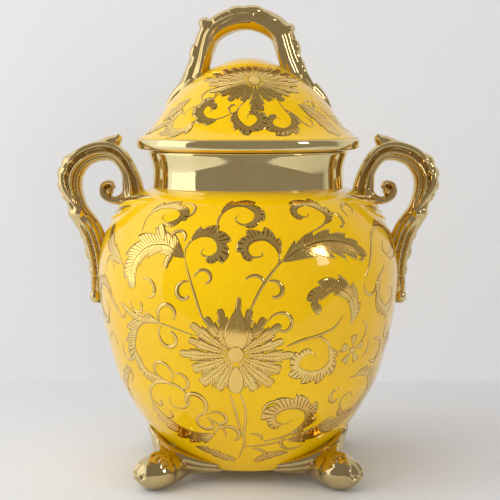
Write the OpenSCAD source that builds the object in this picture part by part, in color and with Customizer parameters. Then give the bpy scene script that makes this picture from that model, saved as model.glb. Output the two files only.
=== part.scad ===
// Covered ceramic jar: footed bowl, gilt neck, two scroll handles and a lift-off domed lid.
// Millimetres. +Z is up, the Z axis is the axis of the jar, the feet stand on Z = 0 and the
// scroll handles lie along X.

/* [Bowl] */
// Radius of the bowl at its widest
belly_r = 107; // [104:0.5:110]
// Height of the widest ring above the table
belly_z = 142; // [138:1:146]
// Radius of the flat base of the bowl
base_r = 54; // [48:1:58]
// Height of the flat base above the table
base_z = 9.5; // [8:0.5:11]
// Thickness of the bowl wall
wall = 5; // [4:0.5:6]

/* [Neck] */
// Outer radius of the neck where it leaves the bowl
neck_r = 68; // [67:0.5:69]
// Height where the neck leaves the bowl
neck_z = 202; // [200:1:204]
// Radius of the flared lip
lip_r = 71; // [69.5:0.5:73]
// Height of the top of the lip
lip_z = 228; // [226:1:230]
// Radius of the mouth
mouth_r = 62.5; // [61:0.5:63.5]

/* [Lid] */
// Outer radius of the rolled rim of the lid
rim_r = 79.4; // [77:0.2:81]
// Height of the joint between the rim and the dome
rim_top_z = 236.5; // [235:0.5:238]
// Height of the top of the dome
dome_z = 293; // [290:1:296]
// Gap between the flange of the lid and the mouth, on the radius
flange_gap = 0.8; // [0.5:0.1:1.5]
// How far the flange reaches down into the neck
flange_depth = 14; // [8:1:18]
// Gap left between the lid and the lip
seat_gap = 0.3; // [0.3:0.1:0.6]

/* [Feet] */
// Distance from the axis of the jar to the middle of each foot pad
foot_r = 92; // [88:1:95]
// Radius of the flat pad under each foot
pad_r = 8; // [6:0.5:9]
// How far round the bowl the leaf above each foot sweeps towards the handle, in degrees
leaf_sweep = 20; // [0:1:24]

/* [Hidden] */

// Colours
YELLOW = "#f4c81c";
GOLD = "#c9a24c";

// Facets round the jar, and segments along each curve of an outline
ROUND = 180;
STEPS = 14;

// Cutters stand this far off the glazed surface, so a luted piece never sinks into it
SKIN = 0.03;

flange_r = mouth_r - flange_gap;
flange_in_r = flange_r - 4;
flange_z = lip_z - flange_depth;
seat_z = lip_z + seat_gap;
dome_in_r = flange_in_r;

// ---- Curves ----

function lerp(a, b, t) = a + (b - a) * t;

// Cubic Bezier curve through p[0] and p[3], without its last point
function bezier(p, n = STEPS) = [
    for (i = [0 : n - 1])
        let (t = i / n, s = 1 - t)
            s * s * s * p[0] + 3 * s * s * t * p[1] + 3 * s * t * t * p[2] + t * t * t * p[3]
];

// One span of a smooth curve through b and c, with a and d as its neighbours
function spline_at(a, b, c, d, t) =
    0.5 * (2 * b + (c - a) * t + (2 * a - 5 * b + 4 * c - d) * t * t
        + (3 * b - a - 3 * c + d) * t * t * t);

// Smooth curve through stations, n steps to each span
function spline(p, n) =
    let (last = len(p) - 1)
    [
        for (i = [0 : last - 1])
            for (k = [0 : n - 1])
                spline_at(p[max(i - 1, 0)], p[i], p[i + 1], p[min(i + 2, last)], k / n),
        p[last]
    ];

// ---- Bowl ----

// Where the shoulder, belly and flank of the bowl join
flank = [93.8, 70];

// Outer outline of the bowl from its neck to its base, moved in by inset
function bowl_outline(inset) =
    let (
        top = [neck_r - inset, neck_z],
        belly = [belly_r - inset, belly_z],
        side = flank - [inset, -inset * 0.3],
        base = [base_r - inset, base_z + inset]
    )
    concat(
        bezier([top, top + [22.5, -3], belly + [0, 27.5], belly]),
        bezier([belly, belly - [0, 25], side + [6.4, 20.6], side]),
        bezier([side, side - [4.5, 14.5], base + [9, 7], base]),
        [base]
    );

// The filled shape of the bowl, used to cut the pieces that sit on it
module bowl_solid(grow = 0) {
    rotate_extrude($fn = ROUND)
        polygon(concat(
            [[0, neck_z + grow]],
            bowl_outline(-grow),
            [[0, base_z - grow]]
        ));
}

module bowl() {
    ring_w = 4;
    recess_h = 2.5;
    outer = bowl_outline(0);
    inner = bowl_outline(wall);
    last = len(inner) - 1;
    color(YELLOW)
        rotate_extrude($fn = ROUND)
            polygon(concat(
                outer,
                [
                    [base_r - ring_w, base_z],
                    [base_r - ring_w - recess_h, base_z + recess_h],
                    [0, base_z + recess_h],
                    [0, base_z + recess_h + wall]
                ],
                [for (i = [last : -1 : 0]) inner[i] + [0, i == last ? recess_h : 0]]
            ));
}

// ---- Neck ----

module neck_collar() {
    inner_bottom_r = neck_r - wall;
    waist = [neck_r - 0.4, lerp(neck_z, lip_z, 0.4)];
    edge = 1.6;
    color(GOLD)
        rotate_extrude($fn = ROUND)
            polygon(concat(
                [[neck_r, neck_z]],
                bezier([waist, waist + [0, 5], [lip_r - 1.6, lip_z - 7], [lip_r, lip_z - edge]]),
                [
                    [lip_r, lip_z - edge],
                    [lip_r - 0.5, lip_z - 0.5],
                    [lip_r - edge, lip_z],
                    [mouth_r + edge, lip_z],
                    [mouth_r, lip_z - edge],
                    [inner_bottom_r, neck_z]
                ]
            ));
}

// ---- Lid ----

// Outer outline of the dome from its apex down to the rim, moved in by inset
function dome_outline(inset) =
    let (
        apex = [0, dome_z - inset],
        shoulder = [58.5 - inset * 0.8, 258 - inset * 0.7],
        skirt = [rim_r - 1.4 - inset, rim_top_z + 0.5]
    )
    concat(
        bezier([apex, apex + [21, 0], shoulder + [-10.5, 15], shoulder]),
        bezier([shoulder, shoulder + [4, -5.7], skirt + [-10, 5.5], skirt]),
        [skirt]
    );

module lid_dome() {
    thick = 4.5;
    inner = [for (p = dome_outline(thick)) if (p[0] < dome_in_r) p];
    last = len(inner) - 1;
    color(YELLOW)
        rotate_extrude($fn = ROUND)
            polygon(concat(
                dome_outline(0),
                [
                    [rim_r - 1.4, rim_top_z],
                    [dome_in_r, rim_top_z]
                ],
                [for (i = [last : -1 : 0]) inner[i]]
            ));
}

module lid_rim() {
    roll = [rim_r, lerp(seat_z, rim_top_z, 0.55)];
    color(GOLD)
        rotate_extrude($fn = ROUND)
            polygon(concat(
                [[flange_r, rim_top_z], [flange_r, seat_z], [rim_r - 5, seat_z]],
                bezier([[rim_r - 4.5, seat_z + 0.1], [rim_r - 1.5, seat_z + 0.5], roll - [0, 2.5], roll], 6),
                bezier([roll, roll + [0, 2], [rim_r - 0.4, rim_top_z - 0.8], [rim_r - 1.4, rim_top_z]], 6),
                [[rim_r - 1.4, rim_top_z]]
            ));
}

module lid_flange() {
    bevel = 1;
    color(YELLOW)
        rotate_extrude($fn = ROUND)
            polygon([
                [flange_in_r, rim_top_z],
                [flange_in_r, flange_z + bevel],
                [flange_in_r + bevel, flange_z],
                [flange_r - bevel, flange_z],
                [flange_r, flange_z + bevel],
                [flange_r, rim_top_z]
            ]);
}

// The filled shape of the dome, used to cut the loop that sits on it
module dome_solid(grow = 0) {
    rotate_extrude($fn = ROUND)
        polygon(concat(dome_outline(-grow), [[0, rim_top_z]]));
}

// ---- Modelled bars ----

// Joins free-form pieces into one mesh at their own size
module one_mesh() {
    resize([0, 0, 0]) children();
}

// Ring of points round a station [x, z, half thickness, half depth] of a bar in the XZ plane
function bar_ring(s, ahead, sides) =
    let (n = [-ahead[1], ahead[0]] / norm(ahead))
    [
        for (k = [0 : sides - 1])
            let (a = 360 * k / sides)
                [s[0] + n[0] * s[2] * cos(a), s[3] * sin(a), s[1] + n[1] * s[2] * cos(a)]
    ];

// A closed bar of oval section that follows a smooth curve through its stations
module bar(stations, n = 3, sides = 16) {
    path = spline(stations, n);
    last = len(path) - 1;
    rings = [
        for (i = [0 : last])
            let (a = path[max(i - 1, 0)], b = path[min(i + 1, last)])
                bar_ring(path[i], [b[0] - a[0], b[1] - a[1]], sides)
    ];
    points = [for (r = rings) for (p = r) p];
    walls = [
        for (i = [0 : last - 1])
            for (k = [0 : sides - 1])
                let (k2 = (k + 1) % sides)
                    [i * sides + k, i * sides + k2, (i + 1) * sides + k2, (i + 1) * sides + k]
    ];
    caps = [
        [for (k = [sides - 1 : -1 : 0]) k],
        [for (k = [0 : sides - 1]) last * sides + k]
    ];
    polyhedron(points = points, faces = concat(walls, caps), convexity = 6);
}

// ---- Side handles ----

// Stations [x, z, half thickness, half depth] from the shoulder, over the arch, down to the belly
scroll = [
    [81, 188, 8.5, 10],
    [82, 202, 8, 11],
    [85, 214, 6.5, 11.5],
    [92.5, 224.5, 7, 12],
    [103, 227.5, 8, 12.5],
    [116, 223, 8.3, 12.5],
    [124.5, 213, 9.4, 12],
    [126, 203, 9.6, 12],
    [122.5, 192, 7.6, 11],
    [119.5, 183, 9.4, 11],
    [112, 171, 9, 10],
    [107.5, 156, 9, 9],
    [106.5, 142, 7, 8],
    [107.5, 129, 6, 7],
    [106, 119, 3.5, 5]
];

// The pointed leaf at the top of the arch
leaf_tip = [
    [112, 228, 4, 8],
    [100, 231.5, 4.5, 8],
    [92, 236, 3.2, 5],
    [90.6, 239, 1.2, 2]
];

// The curl at the foot of the inner leg
curl = [
    [84, 204, 4, 8],
    [88, 195, 4, 8.5],
    [96, 192.5, 3.2, 8.5],
    [102.5, 197.5, 2.8, 8],
    [99.5, 204, 2.6, 7.5],
    [94.5, 201, 2.4, 7]
];

module handle_form() {
    bar(scroll);
    bar(leaf_tip, sides = 12);
    bar(curl, sides = 12);
}

// The handle on the +X side, cut to the bowl it is luted to
module side_handle() {
    one_mesh()
        difference() {
            handle_form();
            bowl_solid(SKIN);
        }
}

module right_handle() {
    color(GOLD) side_handle();
}

module left_handle() {
    color(GOLD) mirror([1, 0, 0]) side_handle();
}

// ---- Lid handle ----

// Stations [x, z, half thickness, half depth] of the twig loop from the left foot to the right
loop = [
    [-50, 256, 7, 8],
    [-42, 268, 9, 9],
    [-36.5, 280, 9, 9],
    [-33, 291, 8.2, 9.5],
    [-30, 302, 8.2, 10],
    [-25.5, 311, 9, 10.5],
    [-14, 318, 9.5, 10.5],
    [0, 320.5, 9.5, 10.5],
    [13, 316.5, 9.3, 10.5],
    [22.5, 309, 8.8, 10.5],
    [26, 299, 8.4, 10],
    [29.5, 289, 8.6, 9.5],
    [34, 279, 8.8, 9],
    [41, 268, 9, 9],
    [50, 256, 7, 8]
];

// Buds at the two shoulders of the loop: [x, z, radius]
buds = [[-30.4, 316.4, 4.6], [28.3, 312.5, 4.6]];

module lid_handle() {
    color(GOLD)
        one_mesh()
            difference() {
                union() {
                    bar(loop);
                    for (b = buds) translate([b[0], 0, b[1]]) sphere(b[2], $fn = 20);
                }
                dome_solid(SKIN);
            }
}

// ---- Feet ----

// A scroll foot that points along +X, with a leaf that climbs the bowl and sweeps to one side
module foot_form(sweep) {
    bulb_z = 11.5;
    hull() {
        translate([foot_r, 0, bulb_z]) sphere(11.8, $fn = 28);
        translate([foot_r - 7, 0, bulb_z + 0.5]) sphere(13, $fn = 28);
        translate([foot_r, 0, 0]) cylinder(r = pad_r, h = 4, $fn = 28);
    }
    hull() {
        translate([foot_r - 8, 0, bulb_z - 1]) sphere(11, $fn = 24);
        translate([52, 0, base_z + 2]) sphere(5, $fn = 20);
    }
    hull() {
        translate([foot_r - 9, 0, bulb_z + 3]) sphere(9.5, $fn = 24);
        rotate(0.5 * sweep) translate([75, 0, 22]) sphere(8, $fn = 24);
    }
    hull() {
        rotate(0.5 * sweep) translate([75, 0, 22]) sphere(8, $fn = 24);
        rotate(1.2 * sweep) translate([81, 0, 38]) sphere(4, $fn = 16);
    }
    hull() {
        rotate(0.5 * sweep) translate([75, 0, 22]) sphere(8, $fn = 24);
        rotate(-sweep) translate([64, 0, 14]) sphere(4.5, $fn = 16);
    }
}

// Turn is the compass angle of the foot about the axis of the jar, and its leaf sweeps by leaf_sweep
// towards the nearer handle
module foot(turn, side) {
    color(GOLD)
        rotate(turn)
            one_mesh()
                difference() {
                    foot_form(side * leaf_sweep);
                    bowl_solid(SKIN);
                    translate([0, 0, -50]) cylinder(r = 150, h = 50);
                }
}

module front_left_foot() { foot(225, -1); }
module front_right_foot() { foot(315, 1); }
module back_left_foot() { foot(135, 1); }
module back_right_foot() { foot(45, -1); }

bowl();
neck_collar();
left_handle();
right_handle();
front_left_foot();
front_right_foot();
back_left_foot();
back_right_foot();
lid_dome();
lid_rim();
lid_flange();
lid_handle();
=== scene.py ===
"""Covered ceramic jar with gilt neck, handles and feet, and printed gilt scrollwork.

Metres, in the frame of the CAD model: +Z up, -Y to the front, feet on Z = 0.
"""

import math

import bmesh
import bpy
import numpy as np
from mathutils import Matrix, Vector


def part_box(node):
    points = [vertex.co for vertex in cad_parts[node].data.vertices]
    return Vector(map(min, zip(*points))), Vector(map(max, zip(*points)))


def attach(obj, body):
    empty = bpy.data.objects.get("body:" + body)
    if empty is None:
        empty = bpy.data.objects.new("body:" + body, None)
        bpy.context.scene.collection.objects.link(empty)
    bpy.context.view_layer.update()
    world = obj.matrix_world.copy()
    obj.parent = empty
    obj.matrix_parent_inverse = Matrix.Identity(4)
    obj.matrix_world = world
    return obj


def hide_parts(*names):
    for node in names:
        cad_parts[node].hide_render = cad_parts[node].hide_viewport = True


MM = 0.001

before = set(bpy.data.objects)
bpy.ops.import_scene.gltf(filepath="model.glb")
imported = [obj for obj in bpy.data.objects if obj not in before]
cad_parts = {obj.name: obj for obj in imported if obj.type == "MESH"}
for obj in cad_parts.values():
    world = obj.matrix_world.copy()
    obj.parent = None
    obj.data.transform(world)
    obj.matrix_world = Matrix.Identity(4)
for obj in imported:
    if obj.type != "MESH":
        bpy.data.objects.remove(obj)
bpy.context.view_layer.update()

# ---------------------------------------------------------------- sizes, from the frame

BOWL_LOW, BOWL_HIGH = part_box("bowl")
NECK_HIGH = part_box("neck_collar")[1]
RIM_LOW, RIM_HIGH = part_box("lid_rim")
FLANGE_LOW, FLANGE_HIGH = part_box("lid_flange")
DOME_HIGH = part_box("lid_dome")[1]

BELLY_R = BOWL_HIGH[0]
BASE_Z = BOWL_LOW[2]
NECK_Z = BOWL_HIGH[2]
LIP_Z = NECK_HIGH[2]
LIP_R = NECK_HIGH[0]
RIM_R = RIM_HIGH[0]
RIM_TOP_Z = RIM_HIGH[2]
SEAT_Z = RIM_LOW[2]
DOME_Z = DOME_HIGH[2]
FLANGE_R = FLANGE_HIGH[0]
FLANGE_Z = FLANGE_LOW[2]

# The sizes that the boxes can't give repeat the CAD model's own
NECK_R = 68 * MM
BELLY_Z = 142 * MM
BASE_R = 54 * MM
WALL = 5 * MM
MOUTH_R = 62.5 * MM
FOOT_R = 92 * MM
FLANK = np.array([93.8, 70.0]) * MM
LIP_EDGE = 1.6 * MM
RIM_EDGE = 1.4 * MM
LID_WALL = 4.5 * MM
FLANGE_WALL = 4 * MM

AROUND = 288  # facets round the jar
GILT = 0.2 * MM  # how far the print may stand above the glaze, to be level with the CAD's surface


# ---------------------------------------------------------------- curves and outlines

def mm(*values):
    """Lengths given in mm, as a point or a move in metres."""
    return np.array(values) * MM


def bezier(points, count):
    """Points along a cubic Bezier curve, both ends included."""
    a, b, c, d = [np.asarray(p, float) for p in points]
    t = np.linspace(0, 1, count)[:, None]
    s = 1 - t
    return s**3 * a + 3 * s * s * t * b + 3 * s * t * t * c + t**3 * d


def spline(stations, per_span):
    """A smooth curve through every station, which may have any number of columns."""
    p = np.asarray(stations, float)
    ends = np.vstack([p[0], p, p[-1]])
    out = []
    for i in range(len(p) - 1):
        a, b, c, d = ends[i:i + 4]
        t = np.arange(per_span)[:, None] / per_span
        out.append(0.5 * (2 * b + (c - a) * t + (2 * a - 5 * b + 4 * c - d) * t**2
                          + (3 * b - a - 3 * c + d) * t**3))
    return np.vstack(out + [p[-1:]])


def joined(*pieces):
    """Joins runs of an outline, leaving out the points that they share."""
    return np.vstack([pieces[0]] + [p[1:] for p in pieces[1:]])


def bowl_outline(inset=0.0, count=48):
    """(radius, height) of the bowl from its neck down to its base, moved in by inset."""
    top = np.array([NECK_R - inset, NECK_Z])
    belly = np.array([BELLY_R - inset, BELLY_Z])
    side = FLANK - np.array([inset, -0.3 * inset])
    base = np.array([BASE_R - inset, BASE_Z + inset])
    return joined(
        bezier([top, top + mm(22.5, -3), belly + mm(0, 27.5), belly], count),
        bezier([belly, belly - mm(0, 25), side + mm(6.4, 20.6), side], count),
        bezier([side, side - mm(4.5, 14.5), base + mm(9, 7), base], count),
    )


def dome_outline(inset=0.0, count=40):
    """(radius, height) of the lid's dome from its top down to the rim, moved in by inset."""
    apex = np.array([0, DOME_Z - inset])
    shoulder = np.array([58.5 * MM - 0.8 * inset, 258 * MM - 0.7 * inset])
    skirt = np.array([RIM_R - RIM_EDGE - inset, RIM_TOP_Z + 0.5 * MM])
    return joined(
        bezier([apex, apex + mm(21, 0), shoulder + mm(-10.5, 15), shoulder], count),
        bezier([shoulder, shoulder + mm(4, -5.7), skirt + mm(-10, 5.5), skirt], count),
    )


class Surface:
    """A turned surface. A place on it is (angle round the axis, distance along the outline)."""

    def __init__(self, outline):
        self.outline = outline
        steps = np.linalg.norm(np.diff(outline, axis=0), axis=1)
        self.run = np.concatenate([[0], np.cumsum(steps)])
        slope = np.gradient(outline, self.run, axis=0)
        self.normal = np.stack([-slope[:, 1], slope[:, 0]], 1)
        self.normal /= np.linalg.norm(self.normal, axis=1)[:, None]

    def radius(self, run):
        return np.interp(run, self.run, self.outline[:, 0])

    def run_at_height(self, z):
        """The outline falls all the way, so each height has one place on it."""
        return np.interp(-np.asarray(z, float), -self.outline[:, 1], self.run)

    def place(self, angle, run, lift=0.0):
        """The point lift above the surface. Angle 0 is the front, and grows towards +X."""
        r, z, nr, nz = [np.interp(run, self.run, column) for column in
                        (*self.outline.T, *self.normal.T)]
        r = r + lift * nr
        return np.stack([r * np.sin(angle), -r * np.cos(angle), z + lift * nz], -1)


BOWL = Surface(bowl_outline(GILT))
DOME = Surface(dome_outline(GILT))


# ---------------------------------------------------------------- materials

def material(name, color, **sockets):
    """A new Principled material, with numbers for its own sockets."""
    m = bpy.data.materials.new(name)
    m.use_nodes = True
    shader = m.node_tree.nodes["Principled BSDF"]
    shader.inputs["Base Color"].default_value = (*color, 1)
    for key, value in sockets.items():
        shader.inputs[key.replace("_", " ")].default_value = value
    return m, m.node_tree, shader


def node(tree, kind, **settings):
    """A shader node. Settings that name an input set its value, and others are properties."""
    n = tree.nodes.new(kind)
    for key, value in settings.items():
        label = key.replace("_", " ")
        if label in n.inputs:
            n.inputs[label].default_value = value
        else:
            setattr(n, key, value)
    return n


def noise(tree, scale, detail=3.0):
    """Noise over the piece itself, at so many features to the metre."""
    place = node(tree, "ShaderNodeTexCoord")
    n = node(tree, "ShaderNodeTexNoise", Scale=scale, Detail=detail, Roughness=0.5)
    tree.links.new(place.outputs["Object"], n.inputs["Vector"])
    return n.outputs["Fac"]


def ramp(tree, value, *stops):
    """Colours or greys along a value: (position, colour) stops."""
    r = node(tree, "ShaderNodeValToRGB")
    elements = r.color_ramp.elements
    while len(elements) < len(stops):
        elements.new(1)
    for element, (position, color) in zip(elements, stops):
        element.position = position
        element.color = (*color, 1) if isinstance(color, tuple) else (color, color, color, 1)
    tree.links.new(value, r.inputs["Fac"])
    return r.outputs["Color"]


def mixed(tree, amount, a, b):
    """Colour a with b laid over it by amount. Each is a socket, a colour or a number."""
    m = node(tree, "ShaderNodeMix", data_type="RGBA")
    for index, value in ((0, amount), (6, a), (7, b)):
        if isinstance(value, bpy.types.NodeSocket):
            tree.links.new(value, m.inputs[index])
        elif isinstance(value, tuple):
            m.inputs[index].default_value = (*value, 1)
        else:
            m.inputs[index].default_value = value
    return m.outputs[2]


def figured(tree, operation, a, b=0.0):
    """A sum on sockets or numbers."""
    n = node(tree, "ShaderNodeMath", operation=operation)
    for index, value in enumerate((a, b)):
        if isinstance(value, bpy.types.NodeSocket):
            tree.links.new(value, n.inputs[index])
        else:
            n.inputs[index].default_value = value
    return n.outputs[0]


def bumped(tree, shader, *heights):
    """Stacks (height socket, strength, distance) bumps and gives them to the shader."""
    last = None
    for height, strength, distance in heights:
        b = node(tree, "ShaderNodeBump", Strength=strength, Distance=distance)
        tree.links.new(height, b.inputs["Height"])
        if last:
            tree.links.new(last, b.inputs["Normal"])
        last = b.outputs["Normal"]
    tree.links.new(last, shader.inputs["Normal"])


def yellow_glaze():
    """Sprayed yellow enamel under a thick clear gloss, with faint pooling and orange peel."""
    m, tree, shader = material("yellow_glaze", (0.90, 0.56, 0.0), Coat_Weight=1.0,
                               Coat_Roughness=0.02, Coat_IOR=1.38, Specular_IOR_Level=0.1)
    spray = ramp(tree, noise(tree, 14, 2), (0.3, (0.86, 0.50, 0.0)), (0.7, (0.96, 0.60, 0.0)))
    mottle = ramp(tree, noise(tree, 260, 4), (0.35, (0.88, 0.53, 0.0)), (0.65, (0.97, 0.62, 0.0)))
    color = mixed(tree, 0.35, spray, mottle)
    specks = ramp(tree, noise(tree, 900, 1), (0.22, 1.0), (0.26, 0.0))
    color = mixed(tree, specks, color, (0.62, 0.34, 0.01))
    tree.links.new(color, shader.inputs["Base Color"])
    rough = ramp(tree, noise(tree, 60, 3), (0.3, 0.10), (0.7, 0.20))
    tree.links.new(rough, shader.inputs["Roughness"])
    bumped(tree, shader, (noise(tree, 110, 2), 0.10, 0.0006), (noise(tree, 18, 1), 0.15, 0.002))
    return m


def white_glaze():
    """The cream glaze inside the jar and under the lid."""
    m, tree, shader = material("white_glaze", (0.86, 0.83, 0.75), Coat_Weight=0.8,
                               Coat_Roughness=0.05, IOR=1.5)
    tone = ramp(tree, noise(tree, 30, 4), (0.3, (0.80, 0.76, 0.66)), (0.7, (0.90, 0.88, 0.81)))
    pits = ramp(tree, noise(tree, 700, 1), (0.24, 1.0), (0.27, 0.0))
    tree.links.new(mixed(tree, pits, tone, (0.45, 0.38, 0.28)), shader.inputs["Base Color"])
    rough = ramp(tree, noise(tree, 80, 3), (0.3, 0.14), (0.7, 0.26))
    tree.links.new(rough, shader.inputs["Roughness"])
    bumped(tree, shader, (noise(tree, 150, 3), 0.2, 0.0005))
    return m


def bare_clay():
    """The unglazed ring under the base."""
    m, tree, shader = material("bare_clay", (0.72, 0.66, 0.56), IOR=1.45)
    tone = ramp(tree, noise(tree, 220, 5), (0.3, (0.62, 0.55, 0.44)), (0.7, (0.80, 0.75, 0.66)))
    tree.links.new(tone, shader.inputs["Base Color"])
    rough = ramp(tree, noise(tree, 500, 3), (0.3, 0.75), (0.7, 0.95))
    tree.links.new(rough, shader.inputs["Roughness"])
    bumped(tree, shader, (noise(tree, 900, 4), 0.5, 0.0003))
    return m


def gold_lustre(name, low, high, wave):
    """Fired gold lustre: a mirror with brushed swirls, a painted highlight on its crests and painted shade in
    its hollows.
    """
    m, tree, shader = material(name, (0.84, 0.68, 0.36), Metallic=1.0)
    tone = ramp(tree, noise(tree, 45, 3), (0.3, low), (0.7, high))
    # painted highlight on convex crests and painted shade in hollows, read from Pointiness
    painted_highlight_and_shade = ramp(tree, node(tree, "ShaderNodeNewGeometry").outputs["Pointiness"],
                 (0.42, (0.10, 0.04, 0.01)), (0.485, (0.68, 0.50, 0.22)), (0.56, (0.98, 0.88, 0.58)))
    color = mixed(tree, 0.5, tone, painted_highlight_and_shade)
    thin = ramp(tree, noise(tree, 520, 2), (0.24, 1.0), (0.30, 0.0))
    color = mixed(tree, thin, color, (0.70, 0.47, 0.20))
    tree.links.new(color, shader.inputs["Base Color"])
    rough = ramp(tree, noise(tree, 90, 4), (0.3, 0.03), (0.7, 0.09))
    tree.links.new(rough, shader.inputs["Roughness"])
    bumped(tree, shader, (noise(tree, 40, 2), wave, 0.001), (noise(tree, 260, 2), 0.06, 0.0003))
    return m


def printed_gold():
    """Gilt print. Its mesh says how far along its stroke each point is, in mm, or -1 where the
    stroke is plain, its share of the way to the edge and the half width there. Veins and a dark
    keyline are drawn from that."""
    m, tree, shader = material("printed_gold", (0.95, 0.80, 0.45), Metallic=1.0)
    place = node(tree, "ShaderNodeSeparateXYZ")
    print_at = node(tree, "ShaderNodeAttribute", attribute_name="stroke")
    tree.links.new(print_at.outputs["Vector"], place.inputs["Vector"])
    along, across, half_width = place.outputs
    side = figured(tree, "ABSOLUTE", across)
    comb = figured(tree, "FRACT", figured(tree, "DIVIDE", along, 1.9))
    vein = ramp(tree, comb, (0.0, 1.0), (0.16, 1.0), (0.26, 0.0), (1.0, 0.0))
    on_leaf = ramp(tree, figured(tree, "DIVIDE", half_width, 10.0), (0.18, 0.0), (0.22, 1.0))
    on_leaf = figured(tree, "MULTIPLY", on_leaf, figured(tree, "GREATER_THAN", along, 0.0))
    # a wide leaf is veined from its midline out, and a narrow petal only towards its edges
    inner = ramp(tree, figured(tree, "DIVIDE", half_width, 20.0), (0.36, 0.50), (0.46, 0.12))
    vein = figured(tree, "MULTIPLY", vein, figured(tree, "GREATER_THAN", side, inner))
    vein = figured(tree, "MULTIPLY", vein, ramp(tree, side, (0.86, 1.0), (0.94, 0.0)))
    vein = figured(tree, "MULTIPLY", vein, on_leaf)
    midline = figured(tree, "MULTIPLY", ramp(tree, side, (0.03, 1.0), (0.05, 0.0)), on_leaf)
    vein = figured(tree, "MAXIMUM", vein, midline)
    to_edge = figured(tree, "MULTIPLY", figured(tree, "SUBTRACT", 1.0, side), half_width)
    line_width = figured(tree, "MINIMUM", figured(tree, "MULTIPLY", half_width, 0.2), 0.36)
    keyline = ramp(tree, figured(tree, "DIVIDE", to_edge, line_width), (0.7, 1.0), (1.0, 0.0))
    tone = ramp(tree, noise(tree, 70, 3), (0.3, (0.98, 0.61, 0.16)), (0.7, (1.0, 0.75, 0.24)))
    color = mixed(tree, vein, tone, (0.16, 0.07, 0.015))
    color = mixed(tree, keyline, color, (0.10, 0.045, 0.01))
    tree.links.new(color, shader.inputs["Base Color"])
    rough = ramp(tree, noise(tree, 300, 3), (0.3, 0.07), (0.7, 0.13))
    tree.links.new(rough, shader.inputs["Roughness"])
    bumped(tree, shader, (figured(tree, "SUBTRACT", 1.0, vein), 0.3, 0.0002),
           (noise(tree, 600, 2), 0.05, 0.0002))
    return m


YELLOW = yellow_glaze()
PRINT = printed_gold()
WHITE = white_glaze()
CLAY = bare_clay()
GOLD = gold_lustre("gold_lustre", (0.66, 0.47, 0.17), (0.86, 0.66, 0.29), 0.12)
# the neck and rim take a paler copy of the same gold: painted light on them
GOLD_TURNED_PAINTED_LIGHT = gold_lustre("gold_lustre_turned_painted_light", (0.93, 0.77, 0.36), (1.0, 0.89, 0.48), 0.05)
# the feet take a darker copy of the same gold: painted shade from the bowl above them
GOLD_FEET_PAINTED_SHADE = gold_lustre("gold_lustre_feet_painted_shade", (0.40, 0.30, 0.13), (0.55, 0.43, 0.21), 0.14)


# ---------------------------------------------------------------- meshes

def new_object(name, verts, faces, materials, indices=None):
    """A smooth-shaded mesh object in the frame."""
    mesh = bpy.data.meshes.new(name)
    mesh.from_pydata([tuple(v) for v in verts], [], faces)
    for m in materials:
        mesh.materials.append(m)
    if indices is not None:
        mesh.polygons.foreach_set("material_index", indices)
    mesh.polygons.foreach_set("use_smooth", [True] * len(mesh.polygons))
    mesh.update()
    o = bpy.data.objects.new(name, mesh)
    bpy.context.collection.objects.link(o)
    return o


def turned(name, stretches, materials, around=AROUND):
    """A closed turned body. Its section is a list of (outline, material index) stretches that run
    round it and back to the start. A point on the axis becomes a single vertex."""
    outline = np.vstack([points for points, _ in stretches])
    zones = [zone for points, zone in stretches for _ in points]
    apart = np.linalg.norm(outline - np.roll(outline, -1, axis=0), axis=1) > 1e-6
    outline, zones = outline[apart], [z for z, keep in zip(zones, apart) if keep]
    verts, rows = [], []
    for r, z in outline:
        if r < 1e-7:
            rows.append([len(verts)])
            verts.append((0, 0, z))
            continue
        rows.append(list(range(len(verts), len(verts) + around)))
        turn = np.arange(around) * 2 * np.pi / around
        verts.extend(zip(r * np.sin(turn), -r * np.cos(turn), np.full(around, z)))
    faces, indices = [], []
    count = len(outline)
    for i in range(count):
        a, b = rows[i], rows[(i + 1) % count]
        if len(a) == 1 and len(b) == 1:
            continue
        for k in range(around):
            k2 = (k + 1) % around
            ring = [a[k % len(a)], a[k2 % len(a)], b[k2 % len(b)], b[k % len(b)]]
            face = list(dict.fromkeys(ring))
            faces.append(face)
            indices.append(zones[i])
    o = new_object(name, verts, faces, materials, indices)
    outward(o)
    return o


def outward(o):
    """Turns every face of a closed mesh to look outwards."""
    bm = bmesh.new()
    bm.from_mesh(o.data)
    bmesh.ops.recalc_face_normals(bm, faces=bm.faces)
    bm.to_mesh(o.data)
    bm.free()


def finished(o, body, slot_name, *nodes):
    """Says what the piece rides on and which nodes it replaces; slot_name is not used."""
    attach(o, body)
    if nodes:
        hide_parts(*nodes)
    return o


def bar(stations, per_span=8, sides=28, mirror=1, grooves=()):
    """A closed bar of oval section along stations (x, z, half thickness, half depth), in mm. A
    groove in its faces is (place from 1 outside to -1 inside, depth, half width, from, to), where
    the last two are shares of the bar's length."""
    path = spline(stations, per_span) * MM
    ahead = np.gradient(path[:, :2], axis=0)
    ahead /= np.linalg.norm(ahead, axis=1)[:, None]
    side = np.stack([-ahead[:, 1], ahead[:, 0]], 1)
    turn = np.arange(sides) * 2 * np.pi / sides
    verts = []
    for t, p, n in zip(np.linspace(0, 1, len(path)), path, side):
        across = p[2] * np.cos(turn)
        deep = p[3] * np.sin(turn)
        for place, depth, width, start, end in grooves:
            fade = np.clip((t - start) / 0.05, 0, 1) * np.clip((end - t) / 0.05, 0, 1)
            cut = fade * depth * MM * np.exp(-((across - place * p[2]) / (width * MM)) ** 2)
            deep = np.sign(deep) * np.maximum(np.abs(deep) - cut, 0.3 * p[3] * np.abs(np.sin(turn)))
        verts.extend(zip(mirror * (p[0] + n[0] * across), deep, p[1] + n[1] * across))
    return closed_tube(verts, len(path), sides)


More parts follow.
